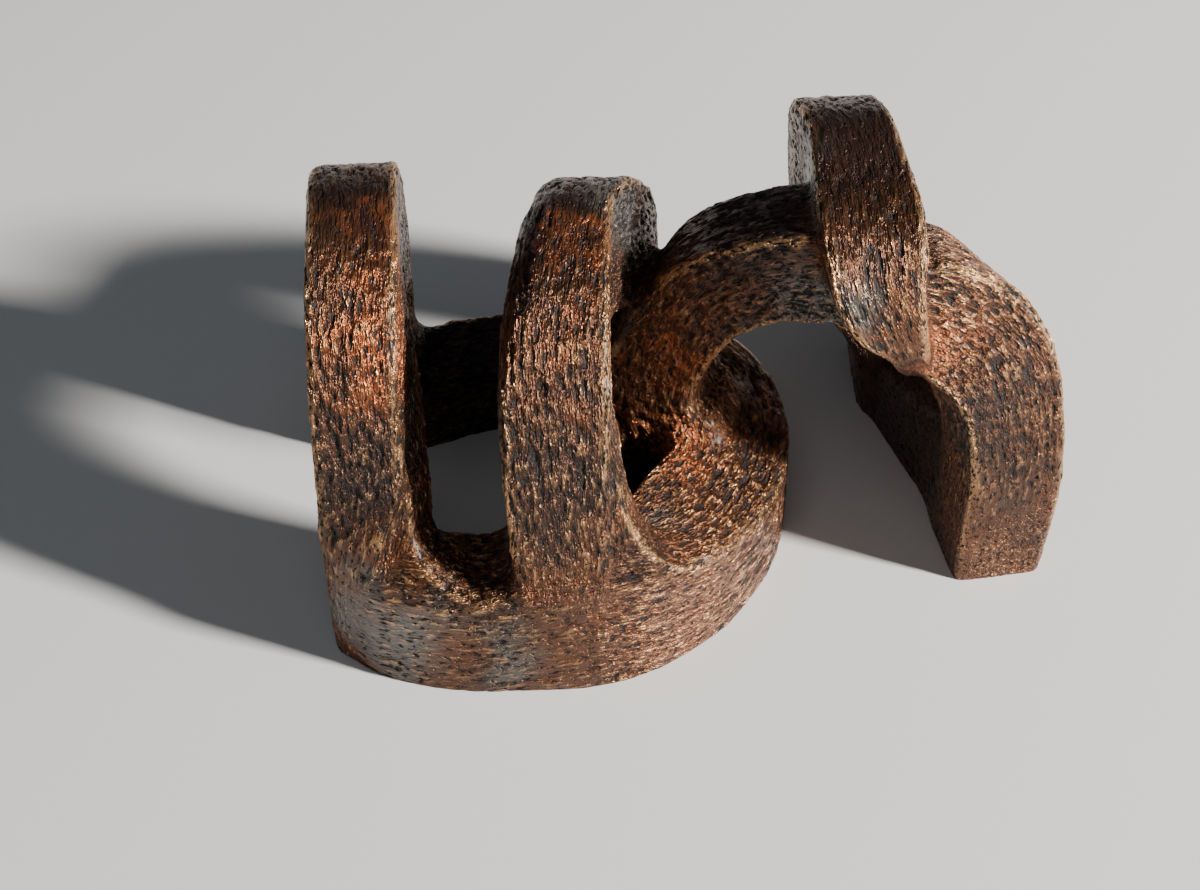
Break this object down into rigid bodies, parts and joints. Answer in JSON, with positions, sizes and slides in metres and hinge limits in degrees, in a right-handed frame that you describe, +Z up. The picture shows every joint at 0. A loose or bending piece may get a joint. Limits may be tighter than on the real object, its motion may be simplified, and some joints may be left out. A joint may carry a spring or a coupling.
{
  "type": "abstract sculpture",
  "caption": "Tabletop abstract sculpture of square bars: a low ring wall with two upright loops, and a wide arch and crossing loop that come down to a curved foot wall.",
  "frame": {"origin": "centre of the object's box at the height of the table it stands on", "axes": "+X along the object to the foot of the wide arch, +Y to the back, +Z up"},
  "size_m": [0.205, 0.147, 0.1205],
  "materials": {
    "aged_bronze": "rough cast bronze with a dark brown patina, black in the pits and rubbed copper on the edges"
  },
  "bodies": {
    "root": {"sculpture": "aged_bronze"}
  },
  "joints": []
}
